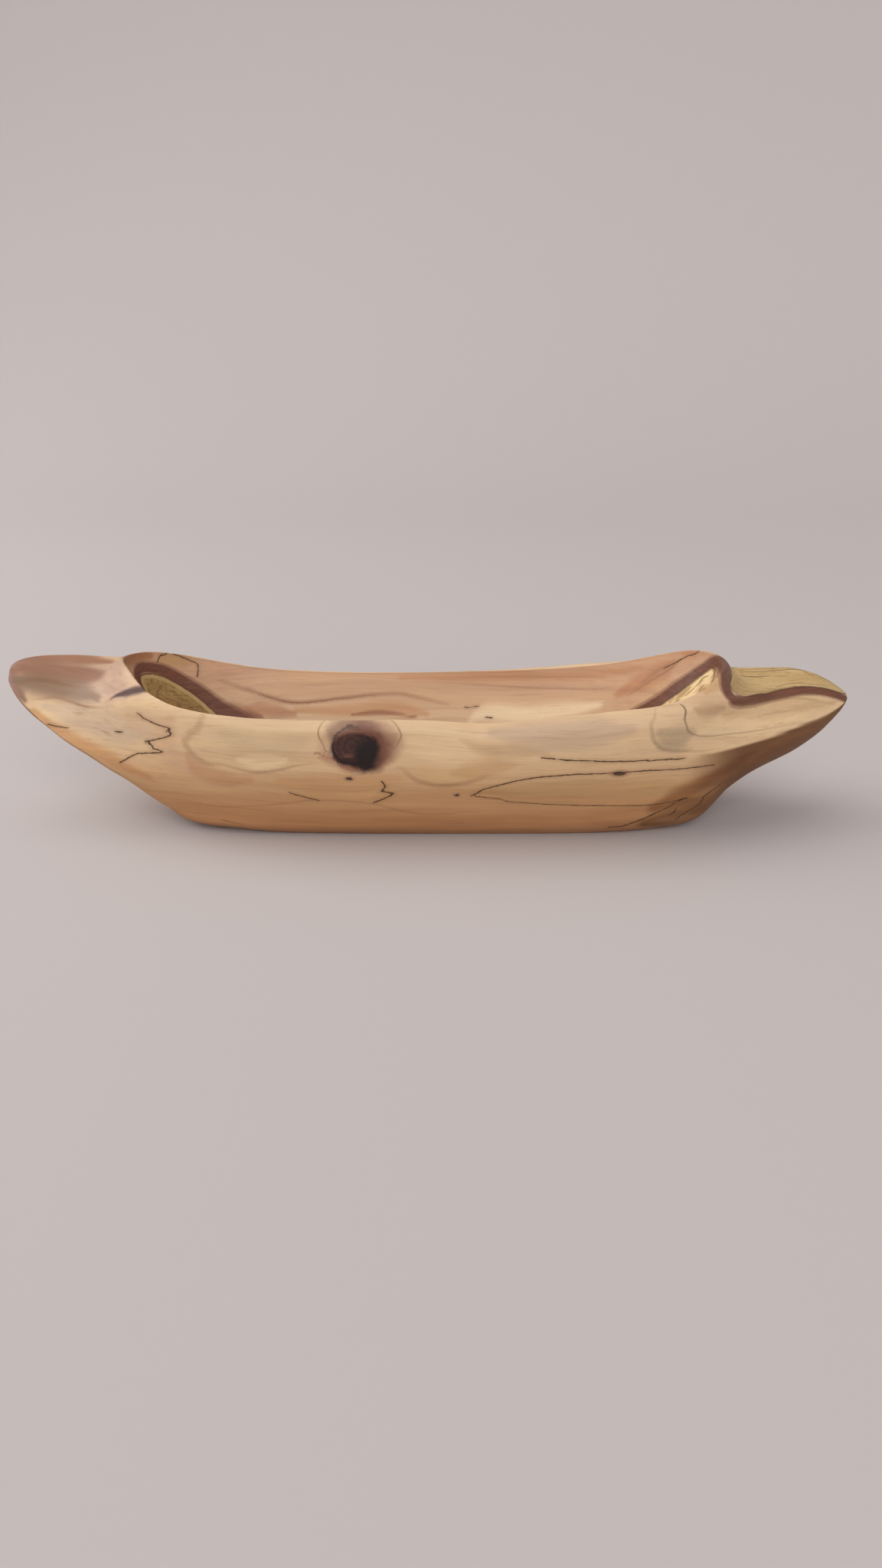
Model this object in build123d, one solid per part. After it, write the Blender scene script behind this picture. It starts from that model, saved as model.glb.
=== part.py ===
"""Carved wooden trough bowl with two lug handles, and the knots grown into its wall.

Millimetres, +Z up, +X along the bowl to the right-hand lug, -Y towards the near side.
The origin is at the centre of the flat base, on the surface that the bowl stands on.
"""
from build123d import *
import math
import os

import numpy as np

# ---- the bowl's skin, as lines that run round it --------------------------------------------
# Each line is a closed loop of stations, in this order. Equal stations of all lines make a
# meridian: it starts at the base, climbs the outside, crosses the rim and ends on the floor.
# right tip, right lug far, right root far, far right, far middle, far left, left root far,
# left lug far, left tip, left lug near, left root near, near left, near middle, near right,
# right root near, right lug near
STATION_ANGLES = (0, 20, 42, 65, 90, 115, 138, 160, 180, 200, 222, 245, 270, 295, 318, 340)

# The underside, halfway from the flat base to the keel.
FLANK = (
    (161, 2, 30), (152, 16, 27), (137, 26, 21), (93, 35, 18),
    (0, 39, 18), (-92, 35, 17), (-136, 26, 21), (-155, 15, 28),
    (-162, 3, 29), (-155, -12, 28.5), (-142, -23, 16), (-92, -35, 16),
    (0, -39, 18), (95, -36, 18), (139, -25, 22), (153, -13, 28.5),
)
# The widest line: the sharp lower edge of both lugs, and the fullest part of the side walls.
KEEL = (
    (203.5, 2, 61), (192, 14, 55), (164, 27, 51), (102, 42, 44),
    (0, 46, 41), (-97, 43, 40), (-154, 32, 50), (-195, 19, 67),
    (-215, 3, 71.5), (-193, -16, 53), (-156, -28, 38), (-97, -43, 36),
    (0, -47, 42), (104, -43, 44), (164, -25, 52), (191, -10, 55),
)
# The upper edge of the lugs, and the top of the side walls' outside.
SHOULDER = (
    (202, 2, 63.5), (188, 12, 70.5), (163, 23, 68.5), (112, 40, 63),
    (0, 46, 54), (-97, 44, 57), (-154, 30, 70.5), (-195, 17, 78),
    (-213, 4, 76.5), (-193, -5, 64), (-155, -25, 60), (-97, -45, 57),
    (0, -47, 57), (108, -42, 61), (157, -17, 67.5), (187, -4, 68),
)
# The hollow where the lugs' tops meet the foot of the rim.
NECK = (
    (153, 2, 67), (152, 13, 67.5), (145, 25, 69), (104, 41, 67.5),
    (0, 45, 58.5), (-97, 43, 62), (-149, 28, 74.5), (-164, 15, 75),
    (-167, 3, 75.5), (-163, -8, 72), (-148, -25, 69), (-97, -44.5, 63),
    (0, -46, 62), (98, -42, 66), (138, -25, 70), (149, -8, 67),
)
# The crest of the rim.
RIM = (
    (140, 3, 79), (138, 16, 79.5), (126, 28, 77.5), (92, 39, 67.5),
    (0, 42, 61.5), (-97, 40, 64.5), (-139, 28, 76), (-153, 16, 80),
    (-157, 3, 81), (-151, -11, 79.5), (-137, -27.5, 73), (-98, -41.5, 66.5),
    (0, -43, 66), (90, -39, 69.5), (124, -26, 74), (136, -10, 78),
)

# The flat base, and the bilge where the underside turns up from it.
BASE_LEFT, BASE_RIGHT, BASE_HALF_WIDTH = -114, 118, 29
BILGE_LEFT, BILGE_RIGHT, BILGE_HALF_WIDTH, BILGE_HEIGHT = -135, 134, 34, 5.5
BASE_FULLNESS = 4.0
# The hollow: the middle of its walls, and the edge and the middle of its floor.
INNER_LEFT, INNER_RIGHT, INNER_HALF_WIDTH, INNER_HEIGHT = -139, 113, 35, 40
FLOOR_LEFT, FLOOR_RIGHT, FLOOR_HALF_WIDTH, FLOOR_HEIGHT = -102, 92, 23, 14
MIDDLE_LEFT, MIDDLE_RIGHT, MIDDLE_HALF_WIDTH, MIDDLE_HEIGHT = -62, 54, 9, 12.6
INNER_FULLNESS, FLOOR_FULLNESS, MIDDLE_FULLNESS = 2.6, 2.4, 2.2
# The sag in the near side of the rim.
DIP_X, DIP_REACH, DIP_DEPTH, DIP_FROM_HEIGHT = 22, 26, 3.0, 40
# How finely the skin is lofted.
POINTS_AROUND, ROWS_PER_GAP = 48, 3

# The big knot in the near wall: a branch core held in an eccentric ring of dark bark.
RING_X, RING_Z, RING_RADIUS = -39.3, 51.5, 11.2
CORE_RADIUS, CORE_SHIFT = 7.6, (-2.3, 1.6)
KNOT_START, KNOT_REACH, KNOT_TAPER = -52, 26, 0.72
# Pin knots: x, z, half length and height over length. They are blind.
PIN_KNOTS = ((83.5, 39.0, 2.9, 0.36), (-42.9, 37.0, 1.5, 0.5), (7.5, 27.0, 1.1, 0.6))
PIN_REACH, PIN_TAPER = 10, 0.6


def plan_oval(left, right, half_width, fullness, height):
    """A level superellipse with one point at each station."""
    points = []
    middle, half_length = (left + right) / 2, (right - left) / 2
    for angle in STATION_ANGLES:
        c, s = math.cos(math.radians(angle)), math.sin(math.radians(angle))
        points.append((
            middle + half_length * math.copysign(abs(c) ** (2 / fullness), c),
            half_width * math.copysign(abs(s) ** (2 / fullness), s),
            height,
        ))
    return tuple(points)


def between(low, high, share):
    """The line part of the way from one line to another. share gives that part at each station's angle."""
    line = []
    for angle, p, q in zip(STATION_ANGLES, low, high):
        part = share(math.radians(angle))
        line.append(tuple(a + (b - a) * part for a, b in zip(p, q)))
    return tuple(line)


def crest_share(angle):
    """The crest is thin all round, and broad and rolled at the right-hand end."""
    return 0.07 + 0.13 * max(0, math.cos(angle + 0.3)) ** 4


BASE_EDGE = plan_oval(BASE_LEFT, BASE_RIGHT, BASE_HALF_WIDTH, BASE_FULLNESS, 0)
BILGE = plan_oval(BILGE_LEFT, BILGE_RIGHT, BILGE_HALF_WIDTH, BASE_FULLNESS, BILGE_HEIGHT)
INNER_WALL = plan_oval(INNER_LEFT, INNER_RIGHT, INNER_HALF_WIDTH, INNER_FULLNESS, INNER_HEIGHT)
INNER_RIM = between(RIM, INNER_WALL, crest_share)
FLOOR_EDGE = plan_oval(FLOOR_LEFT, FLOOR_RIGHT, FLOOR_HALF_WIDTH, FLOOR_FULLNESS, FLOOR_HEIGHT)
FLOOR_MIDDLE = plan_oval(MIDDLE_LEFT, MIDDLE_RIGHT, MIDDLE_HALF_WIDTH, MIDDLE_FULLNESS, MIDDLE_HEIGHT)

LINES = np.array([BASE_EDGE, BILGE, FLANK, KEEL, SHOULDER, NECK, RIM, INNER_RIM,
                  INNER_WALL, FLOOR_EDGE, FLOOR_MIDDLE], float)


def round_parameters():
    """A parameter for each station, by the mean distance between neighbours."""
    steps = np.linalg.norm(np.roll(LINES, -1, axis=1) - LINES, axis=2).mean(axis=0)
    return np.concatenate([[0.0], np.cumsum(np.sqrt(steps))])


def periodic_spline(values, knots, at):
    """A smooth closed cubic through values at knots, read at the parameters in at."""
    n = len(values)
    h = np.diff(knots)
    matrix, right = np.zeros((n, n)), np.zeros((n,) + values.shape[1:])
    for i in range(n):
        before, after = h[i - 1], h[i]
        matrix[i, i - 1] += after
        matrix[i, i] += 2 * (before + after)
        matrix[i, (i + 1) % n] += before
        slope_before = (values[i] - values[i - 1]) / before
        slope_after = (values[(i + 1) % n] - values[i]) / after
        right[i] = 3 * (after * slope_before + before * slope_after)
    slopes = np.linalg.solve(matrix, right.reshape(n, -1)).reshape(right.shape)
    at = np.mod(at, knots[-1])
    i = np.clip(np.searchsorted(knots, at, side="right") - 1, 0, n - 1)
    j = (i + 1) % n
    step = h[i]
    t = (at - knots[i]) / step
    shape = (-1,) + (1,) * (values.ndim - 1)
    t, step = t.reshape(shape), step.reshape(shape)
    return ((2 * t**3 - 3 * t**2 + 1) * values[i] + (t**3 - 2 * t**2 + t) * step * slopes[i]
            + (3 * t**2 - 2 * t**3) * values[j] + (t**3 - t**2) * step * slopes[j])


def meridian(points, at):
    """A cubic up one meridian, whose slopes weigh near neighbours more. at counts the lines from 0."""
    steps = np.sqrt(np.linalg.norm(np.diff(points, axis=0), axis=1)) + 1e-9
    chords = np.diff(points, axis=0) / steps[:, None]
    slopes = np.empty_like(points)
    below, above = steps[:-1, None], steps[1:, None]
    slopes[1:-1] = (above * chords[:-1] + below * chords[1:]) / (above + below)
    slopes[0] = 1.5 * chords[0] - 0.5 * slopes[1]
    slopes[-1] = 1.5 * chords[-1] - 0.5 * slopes[-2]
    i = np.clip(np.floor(at).astype(int), 0, len(points) - 2)
    t, step = (at - i)[:, None], steps[i][:, None]
    return ((2 * t**3 - 3 * t**2 + 1) * points[i] + (t**3 - 2 * t**2 + t) * step * slopes[i]
            + (3 * t**2 - 2 * t**3) * points[i + 1] + (t**3 - t**2) * step * slopes[i + 1])


def rim_dip(points):
    """The near side of the rim sags a little to the right of the big knot."""
    along = np.exp(-(((points[..., 0] - DIP_X) / DIP_REACH) ** 2))
    high = np.clip((points[..., 2] - DIP_FROM_HEIGHT) / (RIM[12][2] - DIP_FROM_HEIGHT), 0, 1)
    near = np.clip(-points[..., 1] / (INNER_HALF_WIDTH * 0.8), 0, 1)
    sag = DIP_DEPTH * along * (high * near) ** 2
    return points - sag[..., None] * np.array([0.0, 0.0, 1.0])


def skin(around, steps_up):
    """Points of the skin: steps_up rows in each gap between lines, and around points in each row."""
    knots = round_parameters()
    at = np.linspace(0, knots[-1], around, endpoint=False)
    ribs = np.stack([periodic_spline(line, knots, at) for line in LINES])
    up = np.linspace(0, len(LINES) - 1, steps_up * (len(LINES) - 1) + 1)
    return rim_dip(np.stack([meridian(ribs[:, k], up) for k in range(around)], axis=1))


def carved_body():
    """The bowl as one piece of wood, with no knots taken out yet."""
    evenly = [k / POINTS_AROUND for k in range(POINTS_AROUND + 1)]
    loops = [
        Wire([Edge.make_spline([Vector(*p) for p in row], periodic=True, parameters=evenly)])
        for row in skin(POINTS_AROUND, ROWS_PER_GAP)
    ]
    return Solid.make_loft(loops)


# ---- the knots -------------------------------------------------------------------------------


def wall_plug(outer_centre, outer_radius, inner_centre, inner_radius, squash, reach):
    """A cone that enters the near wall from outside and narrows towards the hollow."""
    faces = []
    for y, (x, z), radius in (
        (KNOT_START, outer_centre, outer_radius),
        (KNOT_START + reach, inner_centre, inner_radius),
    ):
        plane = Plane(origin=(x, y, z), x_dir=(1, 0, 0), z_dir=(0, -1, 0))
        faces.append(plane * Ellipse(radius, radius * squash))
    return loft(faces)


def pin_plug(x, z, radius, squash):
    return wall_plug((x, z), radius, (x, z), radius * PIN_TAPER, squash, PIN_REACH)


def build():
    os.makedirs("parts", exist_ok=True)
    wood = carved_body()
    ring = (RING_X, RING_Z)
    core = (RING_X + CORE_SHIFT[0], RING_Z + CORE_SHIFT[1])
    core_inside = (RING_X + CORE_SHIFT[0] * KNOT_TAPER, RING_Z + CORE_SHIFT[1] * KNOT_TAPER)
    ring_plug = wall_plug(ring, RING_RADIUS, ring, RING_RADIUS * KNOT_TAPER, 1, KNOT_REACH)
    core_plug = wall_plug(core, CORE_RADIUS, core_inside, CORE_RADIUS * KNOT_TAPER, 1, KNOT_REACH)
    pins = [pin_plug(*pin) for pin in PIN_KNOTS]

    pieces = {
        "bowl_body": wood - ring_plug - pins,
        "knot_bark_ring": (wood & ring_plug) - core_plug,
        "knot_core": wood & core_plug,
        "pin_knots": Compound([(wood & pin).solid() for pin in pins]),
    }
    for name, piece in pieces.items():
        export_step(piece, f"parts/{name}.step")
        print(name, len(piece.solids()), "solids,", round(piece.volume), "mm3")


if __name__ == "__main__":
    build()
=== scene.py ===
import math

import bpy
import numpy as np
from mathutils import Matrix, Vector


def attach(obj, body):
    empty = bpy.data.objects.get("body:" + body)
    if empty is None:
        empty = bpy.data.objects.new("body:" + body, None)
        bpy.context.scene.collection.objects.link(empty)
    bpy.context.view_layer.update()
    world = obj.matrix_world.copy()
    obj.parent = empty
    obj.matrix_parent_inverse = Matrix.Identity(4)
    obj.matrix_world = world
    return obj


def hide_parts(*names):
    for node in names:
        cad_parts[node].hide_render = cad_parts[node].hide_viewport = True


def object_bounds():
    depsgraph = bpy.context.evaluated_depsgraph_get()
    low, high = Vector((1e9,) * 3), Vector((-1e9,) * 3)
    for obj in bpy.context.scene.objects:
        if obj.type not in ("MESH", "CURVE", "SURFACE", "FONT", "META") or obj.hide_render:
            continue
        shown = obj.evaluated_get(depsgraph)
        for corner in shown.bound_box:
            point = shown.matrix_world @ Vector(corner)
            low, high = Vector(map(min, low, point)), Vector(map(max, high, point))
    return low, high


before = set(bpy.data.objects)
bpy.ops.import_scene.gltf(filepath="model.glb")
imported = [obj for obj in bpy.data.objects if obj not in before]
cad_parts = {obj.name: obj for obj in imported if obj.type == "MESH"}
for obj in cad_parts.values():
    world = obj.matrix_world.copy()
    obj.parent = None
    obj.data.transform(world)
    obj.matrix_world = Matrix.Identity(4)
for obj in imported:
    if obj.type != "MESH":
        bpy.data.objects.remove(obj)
cad_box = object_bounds()
MM = 0.001

# ---- the skin of the bowl, in millimetres: closed lines one above another, as in the CAD model ----
# Each line has a point at each station: right tip, right lug far, right root far, far right, far
# middle, far left, left root far, left lug far, left tip, left lug near, left root near, near left,
# near middle, near right, right root near, right lug near.
STATION_ANGLES = (0, 20, 42, 65, 90, 115, 138, 160, 180, 200, 222, 245, 270, 295, 318, 340)

FLANK = (
    (161, 2, 30), (152, 16, 27), (137, 26, 21), (93, 35, 18),
    (0, 39, 18), (-92, 35, 17), (-136, 26, 21), (-155, 15, 28),
    (-162, 3, 29), (-155, -12, 28.5), (-142, -23, 16), (-92, -35, 16),
    (0, -39, 18), (95, -36, 18), (139, -25, 22), (153, -13, 28.5),
)
KEEL = (
    (203.5, 2, 61), (192, 14, 55), (164, 27, 51), (102, 42, 44),
    (0, 46, 41), (-97, 43, 40), (-154, 32, 50), (-195, 19, 67),
    (-215, 3, 71.5), (-193, -16, 53), (-156, -28, 38), (-97, -43, 36),
    (0, -47, 42), (104, -43, 44), (164, -25, 52), (191, -10, 55),
)
SHOULDER = (
    (202, 2, 63.5), (188, 12, 70.5), (163, 23, 68.5), (112, 40, 63),
    (0, 46, 54), (-97, 44, 57), (-154, 30, 70.5), (-195, 17, 78),
    (-213, 4, 76.5), (-193, -5, 64), (-155, -25, 60), (-97, -45, 57),
    (0, -47, 57), (108, -42, 61), (157, -17, 67.5), (187, -4, 68),
)
NECK = (
    (153, 2, 67), (152, 13, 67.5), (145, 25, 69), (104, 41, 67.5),
    (0, 45, 58.5), (-97, 43, 62), (-149, 28, 74.5), (-164, 15, 75),
    (-167, 3, 75.5), (-163, -8, 72), (-148, -25, 69), (-97, -44.5, 63),
    (0, -46, 62), (98, -42, 66), (138, -25, 70), (149, -8, 67),
)
RIM = (
    (140, 3, 79), (138, 16, 79.5), (126, 28, 77.5), (92, 39, 67.5),
    (0, 42, 61.5), (-97, 40, 64.5), (-139, 28, 76), (-153, 16, 80),
    (-157, 3, 81), (-151, -11, 79.5), (-137, -27.5, 73), (-98, -41.5, 66.5),
    (0, -43, 66), (90, -39, 69.5), (124, -26, 74), (136, -10, 78),
)


def plan_oval(left, right, half_width, fullness, height):
    """A level line, squarer in plan as fullness grows."""
    points = []
    middle, half_length = (left + right) / 2, (right - left) / 2
    for angle in STATION_ANGLES:
        c, s = math.cos(math.radians(angle)), math.sin(math.radians(angle))
        points.append((
            middle + half_length * math.copysign(abs(c) ** (2 / fullness), c),
            half_width * math.copysign(abs(s) ** (2 / fullness), s),
            height,
        ))
    return tuple(points)


def between(low, high, share):
    """The line that is share(angle) of the way from low to high."""
    line = []
    for angle, p, q in zip(STATION_ANGLES, low, high):
        part = share(math.radians(angle))
        line.append(tuple(a + (b - a) * part for a, b in zip(p, q)))
    return tuple(line)


def crest_share(angle):
    """The crest of the rim is widest at the right end."""
    return 0.07 + 0.13 * max(0, math.cos(angle + 0.3)) ** 4


BASE_EDGE = plan_oval(-114, 118, 29, 4.0, 0)
BILGE = plan_oval(-135, 134, 34, 4.0, 5.5)
INNER_WALL = plan_oval(-139, 113, 35, 2.6, 40)
INNER_RIM = between(RIM, INNER_WALL, crest_share)
FLOOR_EDGE = plan_oval(-102, 92, 23, 2.4, 14)
FLOOR_MIDDLE = plan_oval(-62, 54, 9, 2.2, 12.6)
LINES = np.array([BASE_EDGE, BILGE, FLANK, KEEL, SHOULDER, NECK, RIM, INNER_RIM,
                  INNER_WALL, FLOOR_EDGE, FLOOR_MIDDLE], float)
KEEL_LEVEL, RIM_LEVEL = 3, 6
# Where the near side of the rim sags: place and reach along x, depth, and the height it starts at.
DIP_X, DIP_REACH, DIP_DEPTH, DIP_FROM_HEIGHT = 22, 26, 3.0, 40
NEAR_MIDDLE = 12


def round_parameters():
    """The spline parameter of each station, and of the way back to the first."""
    steps = np.linalg.norm(np.roll(LINES, -1, axis=1) - LINES, axis=2).mean(axis=0)
    return np.concatenate([[0.0], np.cumsum(np.sqrt(steps))])


def hermite(t, step, start, leaving, end, arriving):
    """The cubic from start to end with these slopes, at the share t of the step."""
    return ((2 * t**3 - 3 * t**2 + 1) * start + (t**3 - 2 * t**2 + t) * step * leaving
            + (3 * t**2 - 2 * t**3) * end + (t**3 - t**2) * step * arriving)


def periodic_spline(values, knots, at):
    """A smooth closed cubic through values at knots, read at the parameters in at."""
    n = len(values)
    h = np.diff(knots)
    matrix, right = np.zeros((n, n)), np.zeros(values.shape)
    for i in range(n):
        before, after = h[i - 1], h[i]
        matrix[i, i - 1] += after
        matrix[i, i] += 2 * (before + after)
        matrix[i, (i + 1) % n] += before
        right[i] = 3 * (after * (values[i] - values[i - 1]) / before
                        + before * (values[(i + 1) % n] - values[i]) / after)
    slopes = np.linalg.solve(matrix, right)
    at = np.mod(at, knots[-1])
    i = np.clip(np.searchsorted(knots, at, side="right") - 1, 0, n - 1)
    j = (i + 1) % n
    t = ((at - knots[i]) / h[i])[:, None]
    return hermite(t, h[i][:, None], values[i], slopes[i], values[j], slopes[j])


def meridian(points, at, crease, swell):
    """The skin up each column of points, which is lines x columns x 3, at one level for each column.
    In each column, crease sharpens the keel, 0 to 1, and swell rounds out the underside below it."""
    gaps = np.diff(points, axis=0)
    steps = np.sqrt(np.linalg.norm(gaps, axis=2, keepdims=True)) + 1e-9
    chords = gaps / steps
    slopes = np.empty_like(points)
    slopes[1:-1] = (steps[1:] * chords[:-1] + steps[:-1] * chords[1:]) / (steps[1:] + steps[:-1])
    slopes[0] = 1.5 * chords[0] - 0.5 * slopes[1]
    slopes[-1] = 1.5 * chords[-1] - 0.5 * slopes[-2]
    leaving, arriving = slopes.copy(), slopes.copy()
    leaving[KEEL_LEVEL] += (chords[KEEL_LEVEL] - slopes[KEEL_LEVEL]) * crease[:, None]
    arriving[KEEL_LEVEL] *= 1 + swell[:, None]
    i = np.clip(np.floor(at).astype(int), 0, len(points) - 2)
    column = np.arange(points.shape[1])
    t, step = (at - i)[:, None], steps[i, column]
    return hermite(t, step, points[i, column], leaving[i, column],
                   points[i + 1, column], arriving[i + 1, column])


def smooth(value, low, high):
    """0 at low, 1 at high, and smooth between them."""
    t = np.clip((value - low) / (high - low), 0, 1)
    return t * t * (3 - 2 * t)


def degrees_from(middle, degrees):
    """How far round the bowl from middle, 0 to 180."""
    return np.abs(np.mod(degrees - middle + 180, 360) - 180)


def keel_crease(degrees):
    """The keel is a crisp edge along both lugs, and round along the side walls."""
    right, left = degrees_from(342, degrees), degrees_from(195, degrees)
    return 0.9 * np.maximum(smooth(right, 54, 40), smooth(left, 40, 27))


def keel_swell(degrees):
    """The underside of the right lug is full under its tip."""
    return 1.2 * smooth(degrees_from(348, degrees), 36, 10)


def rim_dip(points):
    """The near side of the rim sags a little to the right of the big knot."""
    along = np.exp(-(((points[..., 0] - DIP_X) / DIP_REACH) ** 2))
    high = np.clip((points[..., 2] - DIP_FROM_HEIGHT) / (RIM[NEAR_MIDDLE][2] - DIP_FROM_HEIGHT), 0, 1)
    near = np.clip(-points[..., 1] / 28, 0, 1)
    sag = DIP_DEPTH * along * (high * near) ** 2
    return points - sag[..., None] * np.array([0.0, 0.0, 1.0])


KNOTS = round_parameters()


def on_skin(degrees, levels):
    """Points on the skin at these degrees round the bowl and these levels, which count the lines
    upwards from the edge of the base."""
    turn = np.mod(degrees, 360)
    at = np.interp(turn, STATION_ANGLES + (360,), KNOTS)
    ribs = np.stack([periodic_spline(line, KNOTS, at) for line in LINES])
    return rim_dip(meridian(ribs, np.asarray(levels, float), keel_crease(turn), keel_swell(turn)))


def add_object(name, data):
    """A new object with this data, in the scene."""
    thing = bpy.data.objects.new(name, data)
    bpy.context.scene.collection.objects.link(thing)
    return thing


# ---- the carved body as a fine mesh ----
COLUMNS = 640
# Mesh rows between each line and the next, and the rings that close the base and the floor.
ROWS_IN_GAP = (6, 10, 20, 18, 18, 12, 9, 26, 18, 9)
CAP_SHARES = (0.93, 0.8, 0.6, 0.35, 0.1)
# Depths in mm: the skin under the CAD surface, the same right round the knots, and the torn fibres.
SKIN_DEPTH, KNOT_SKIN_DEPTH, TORN_DEPTH = 0.12, 0.34, 0.4
TORN_ALONG = np.array([0.62, -0.4, 0.67])
WAVE_COUNT = 9
WAVE_STRETCH = np.array([0.45, 1, 1])
# The tapered holes that the knots fill, as in the CAD model, in mm: place along x and z, outer and
# inner radius, height over width, and how deep from KNOT_FROM_Y. The first is the big knot's.
KNOT_HOLES = (
    (-39.3, 51.5, 11.2, 8.064, 1, 26),
    (83.5, 39.0, 2.9, 1.74, 0.36, 10),
    (-42.9, 37.0, 1.5, 0.9, 0.5, 10),
    (7.5, 27.0, 1.1, 0.66, 0.6, 10),
)
KNOT_FROM_Y = -52
SHARP_EDGE_DEGREES = 50


def body_grid():
    """The skin as rings of points from the middle of the base to the middle of the floor, the level
    of each ring, and the degrees of each column."""
    at = np.linspace(0, KNOTS[-1], COLUMNS, endpoint=False)
    degrees = np.interp(at, KNOTS, STATION_ANGLES + (360,))
    ribs = np.stack([periodic_spline(line, KNOTS, at) for line in LINES])
    levels = [0.0]
    for gap, rows in enumerate(ROWS_IN_GAP):
        levels += [gap + (k + 1) / rows for k in range(rows)]
    crease, swell = keel_crease(degrees), keel_swell(degrees)
    rings = [rim_dip(meridian(ribs, np.full(COLUMNS, level), crease, swell)) for level in levels]
    base_middle, floor_middle = np.array([2.0, 0, 0]), rings[-1].mean(axis=0)
    for share in CAP_SHARES:
        rings.insert(0, base_middle + (ribs[0] - base_middle) * share)
        levels.insert(0, 0.0)
    edge = rings[-1]
    for share in CAP_SHARES:
        rings.append(floor_middle + (edge - floor_middle) * share)
        levels.append(float(len(LINES) - 1))
    return np.stack(rings), np.array(levels), degrees


def grid_normals(grid):
    round_way = np.roll(grid, -1, axis=1) - np.roll(grid, 1, axis=1)
    upwards = np.gradient(grid, axis=0)
    normals = np.cross(round_way, upwards)
    return normals / (np.linalg.norm(normals, axis=2, keepdims=True) + 1e-12)


def waves(points, wavelength, seed):
    """A smooth uneven field between about -1 and 1, from plane waves in seeded directions. They
    are longest along the bowl."""
    dice = np.random.default_rng(seed)
    total = np.zeros(points.shape[:-1])
    for _ in range(WAVE_COUNT):
        direction = dice.normal(size=3) * WAVE_STRETCH
        direction /= np.linalg.norm(direction)
        pace = 2 * math.pi / (wavelength * dice.uniform(0.7, 1.5))
        total += np.sin(points @ direction * pace + dice.uniform(0, 6.28))
    return total / math.sqrt(WAVE_COUNT)


# ---- marks on the skin, each as (degrees round, level) points ----
# Yellow spalted sapwood: a lens inside the left end, a torn patch inside the right end, and the
# dished top of the right lug. Each is a closed outline.
LENS = (
    (173, 7.8), (172.5, 7.55), (171.4, 7.36), (169.4, 7.3), (165.7, 7.29), (158.4, 7.31), (152.2, 7.37),
    (147.5, 7.47), (143.5, 7.59), (141.5, 7.71), (140.2, 7.86), (139.5, 8.05), (143, 8.3), (155, 8.38),
    (166, 8.3), (172, 8.1),
)
PATCH = (
    (9, 6.9), (12.5, 7.1), (14.5, 7.2), (17, 7.36), (19.3, 7.49), (22.9, 7.67), (25, 7.9), (22, 8.15),
    (8, 8.25), (-10, 8.1), (-26, 7.7), (-40, 7.2), (-42, 6.5), (-25, 6.75), (-12, 7.05), (-5, 7.05),
    (0.4, 6.97), (5.5, 6.86),
)
DISH = (
    (-10, 5.66), (-17, 5.56), (-28, 5.5), (-34, 5.1), (-42.5, 4.6), (-41, 4.14), (-27, 4.05), (-13, 3.92),
    (-2, 3.85), (10, 3.95), (25, 3.95), (38, 4.1), (45, 4.4), (42, 4.9), (30, 5.5), (15, 5.7), (0, 5.75),
)
# The dark heartwood edge: (degrees, level, half width in mm).
HEART_RIGHT = (
    (31, 7.95, 3.8), (28, 7.8, 3.6), (24.6, 7.62, 3.5), (23.5, 7.51, 3.4), (21.5, 7.38, 3.2),
    (19.5, 7.24, 3.1), (17, 7.08, 3.1), (14, 6.78, 3.4), (6, 6.3, 4), (-6, 6, 4.2), (-17, 5.8, 4),
    (-27, 5.66, 3.7), (-36, 5.4, 3.5), (-42.5, 5, 3.3), (-45.5, 4.6, 3.6), (-45.5, 4.3, 3.5),
    (-43, 4.08, 3), (-36, 3.93, 2.3), (-27, 3.88, 2.2), (-13, 3.68, 2), (-6, 3.3, 1.7),
)
HEART_LEFT = (
    (177.5, 7.8, 1.8), (175.5, 7.5, 2.2), (172.5, 7.29, 2.4), (166, 7.2, 2.5), (156, 7.23, 2.7),
    (149, 7.31, 2.9), (143.5, 7.46, 3.2), (139.5, 7.6, 3.4), (137, 7.8, 3.9), (134, 8.02, 4.2),
    (131, 8.2, 3.8),
)
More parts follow.
